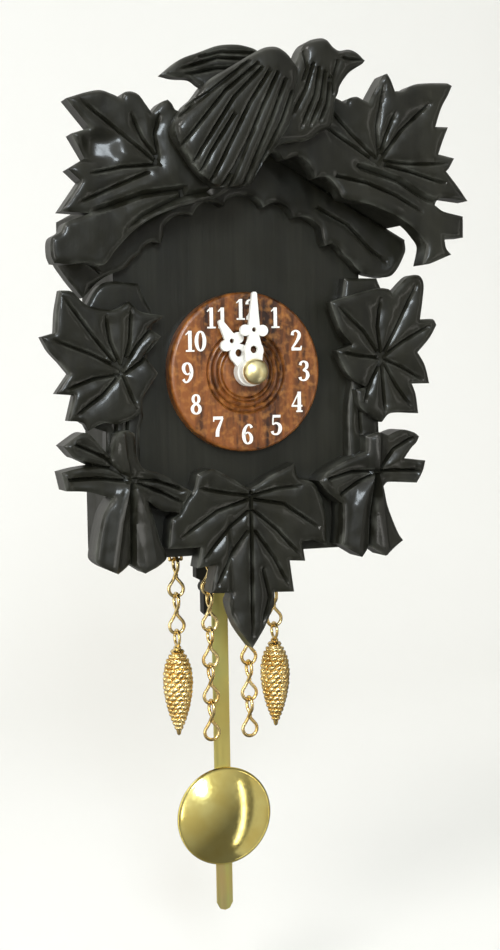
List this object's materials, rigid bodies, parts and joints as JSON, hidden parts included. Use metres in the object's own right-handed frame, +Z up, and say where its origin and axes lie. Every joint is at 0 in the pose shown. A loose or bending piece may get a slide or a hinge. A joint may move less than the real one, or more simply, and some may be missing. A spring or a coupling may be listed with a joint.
{
  "type": "key-wound miniature carved wall clock",
  "caption": "Miniature carved wall clock with a bird and leaves, round wooden dial, short pendulum with a brass bob, hanging chains with pine-cone weights and a key-wound spring movement.",
  "frame": {"origin": "centre of the hanging hole in the rear face of the hanger board, in the wall plane", "axes": "+X right seen from the front, +Y into the wall, +Z up; the front faces -Y"},
  "size_m": [0.1085, 0.056, 0.2245],
  "materials": {
    "black_lacquer": "glossy black lacquer over carved wood",
    "case_wood": "satin black stain",
    "plain_wood": "plain unfinished wood",
    "dial_wood": "brown streaked wood under clear lacquer, white numerals",
    "hand_plastic": "white, moulded",
    "brass": "satin brass",
    "bright_brass": "polished brass",
    "gold_chain": "bright gold-coloured wire",
    "rod_metal": "yellow passivated strip",
    "steel": "bright steel"
  },
  "bodies": {
    "case": {"front_panel": "black_lacquer", "left_side": "case_wood", "right_side": "case_wood", "bottom_board": "case_wood", "roof_left": "case_wood", "roof_right": "case_wood", "gable_lace": "black_lacquer", "hanger_board": "plain_wood", "rear_rail": "case_wood", "wall_stand_off": "case_wood", "back_board": "plain_wood", "back_blocks": "plain_wood", "back_screws": "steel", "crown_carving": "black_lacquer", "bird": "black_lacquer", "left_column": "black_lacquer", "right_column": "black_lacquer", "bottom_leaf": "black_lacquer", "dial": "dial_wood", "front_plate": "brass", "back_plate": "brass", "pillars": "brass", "movement_studs": "steel", "minute_stud": "steel", "click_work": "steel", "chain_staples": "gold_chain"},
    "minute_train": {"centre_arbor": "steel", "centre_wheel": "brass", "cannon_pipe": "brass", "cannon_pinion": "brass", "minute_hand": "hand_plastic", "hand_nut": "bright_brass"},
    "hour_train": {"hour_wheel": "brass", "hour_pipe": "brass", "hour_hand": "hand_plastic"},
    "motion_wheel": {"minute_wheel": "brass"},
    "barrel": {"great_wheel": "brass", "barrel_drum": "brass", "mainspring": "steel"},
    "winding": {"barrel_arbor": "steel", "ratchet_wheel": "steel", "winding_key": "brass"},
    "third": {"third_arbor": "steel", "third_wheel": "brass"},
    "fourth": {"fourth_arbor": "steel", "fourth_wheel": "brass"},
    "escape": {"escape_arbor": "steel", "escape_wheel": "brass"},
    "pendulum": {"pallets": "steel", "pendulum_hook": "brass", "pendulum_rod": "rod_metal"},
    "bob": {"pendulum_bob": "bright_brass", "bob_clip": "brass"},
    "chain_1": {"strand_1": "gold_chain"},
    "chain_2": {"strand_2": "gold_chain"},
    "chain_3": {"strand_3": "gold_chain"},
    "chain_4": {"strand_4": "gold_chain"},
    "weight_left": {"cone_left": "gold_chain"},
    "weight_right": {"cone_right": "gold_chain"}
  },
  "joints": [
    {"name": "fourth_turn", "type": "hinge", "parent": "case", "child": "fourth", "pos_m": [0.0088, -0.018, -0.028], "axis": [0, 1, 0], "continuous": true},
    {"name": "minute_turn", "type": "hinge", "parent": "case", "child": "minute_train", "pos_m": [0, -0.018, -0.04], "axis": [0, 1, 0], "continuous": true},
    {"name": "hour_turn", "type": "hinge", "parent": "case", "child": "hour_train", "pos_m": [0, -0.018, -0.04], "axis": [0, 1, 0], "continuous": true},
    {"name": "motion_turn", "type": "hinge", "parent": "case", "child": "motion_wheel", "pos_m": [0.01039, -0.018, -0.034], "axis": [0, 1, 0], "continuous": true},
    {"name": "barrel_turn", "type": "hinge", "parent": "case", "child": "barrel", "pos_m": [-0.01198, -0.018, -0.04799], "axis": [0, 1, 0], "continuous": true},
    {"name": "third_turn", "type": "hinge", "parent": "case", "child": "third", "pos_m": [0.01115, -0.018, -0.03895], "axis": [0, 1, 0], "continuous": true},
    {"name": "escape_turn", "type": "hinge", "parent": "case", "child": "escape", "pos_m": [0, -0.018, -0.028], "axis": [0, 1, 0], "continuous": true},
    {"name": "winding_turn", "type": "hinge", "parent": "case", "child": "winding", "pos_m": [-0.01198, -0.018, -0.04799], "axis": [0, 1, 0], "range_deg": [-1800, 0]},
    {"name": "pendulum_swing", "type": "hinge", "parent": "case", "child": "pendulum", "pos_m": [0, -0.018, -0.021], "axis": [0, 1, 0], "range_deg": [-6, 6]},
    {"name": "bob_slide", "type": "slide", "parent": "pendulum", "child": "bob", "axis": [0, 0, 1], "range_m": [-0.012, 0.008]},
    {"name": "chain_1_swing", "type": "hinge", "parent": "case", "child": "chain_1", "pos_m": [-0.0142, -0.017, -0.0883], "axis": [1, 0, 0], "range_deg": [-12, 1.5]},
    {"name": "chain_2_swing", "type": "hinge", "parent": "case", "child": "chain_2", "pos_m": [-0.0051, -0.017, -0.0883], "axis": [1, 0, 0], "range_deg": [-12, 1.5]},
    {"name": "chain_3_swing", "type": "hinge", "parent": "case", "child": "chain_3", "pos_m": [0.0056, -0.017, -0.0883], "axis": [1, 0, 0], "range_deg": [-12, 1.5]},
    {"name": "chain_4_swing", "type": "hinge", "parent": "case", "child": "chain_4", "pos_m": [0.013, -0.017, -0.0883], "axis": [1, 0, 0], "range_deg": [-12, 1.5]},
    {"name": "weight_left_swing", "type": "hinge", "parent": "chain_1", "child": "weight_left", "pos_m": [-0.0142, -0.017, -0.1076], "axis": [1, 0, 0], "range_deg": [-12, 1.5]},
    {"name": "weight_right_swing", "type": "hinge", "parent": "chain_4", "child": "weight_right", "pos_m": [0.013, -0.017, -0.1076], "axis": [1, 0, 0], "range_deg": [-12, 1.5]}
  ],
  "couplings": [
    {"joint": "minute_turn", "follows": "fourth_turn", "ratio": 0.027778},
    {"joint": "third_turn", "follows": "fourth_turn", "ratio": -0.16667},
    {"joint": "escape_turn", "follows": "fourth_turn", "ratio": -4.5},
    {"joint": "barrel_turn", "follows": "fourth_turn", "ratio": -0.0034722},
    {"joint": "hour_turn", "follows": "fourth_turn", "ratio": 0.0023148},
    {"joint": "motion_turn", "follows": "fourth_turn", "ratio": -0.0092593}
  ]
}
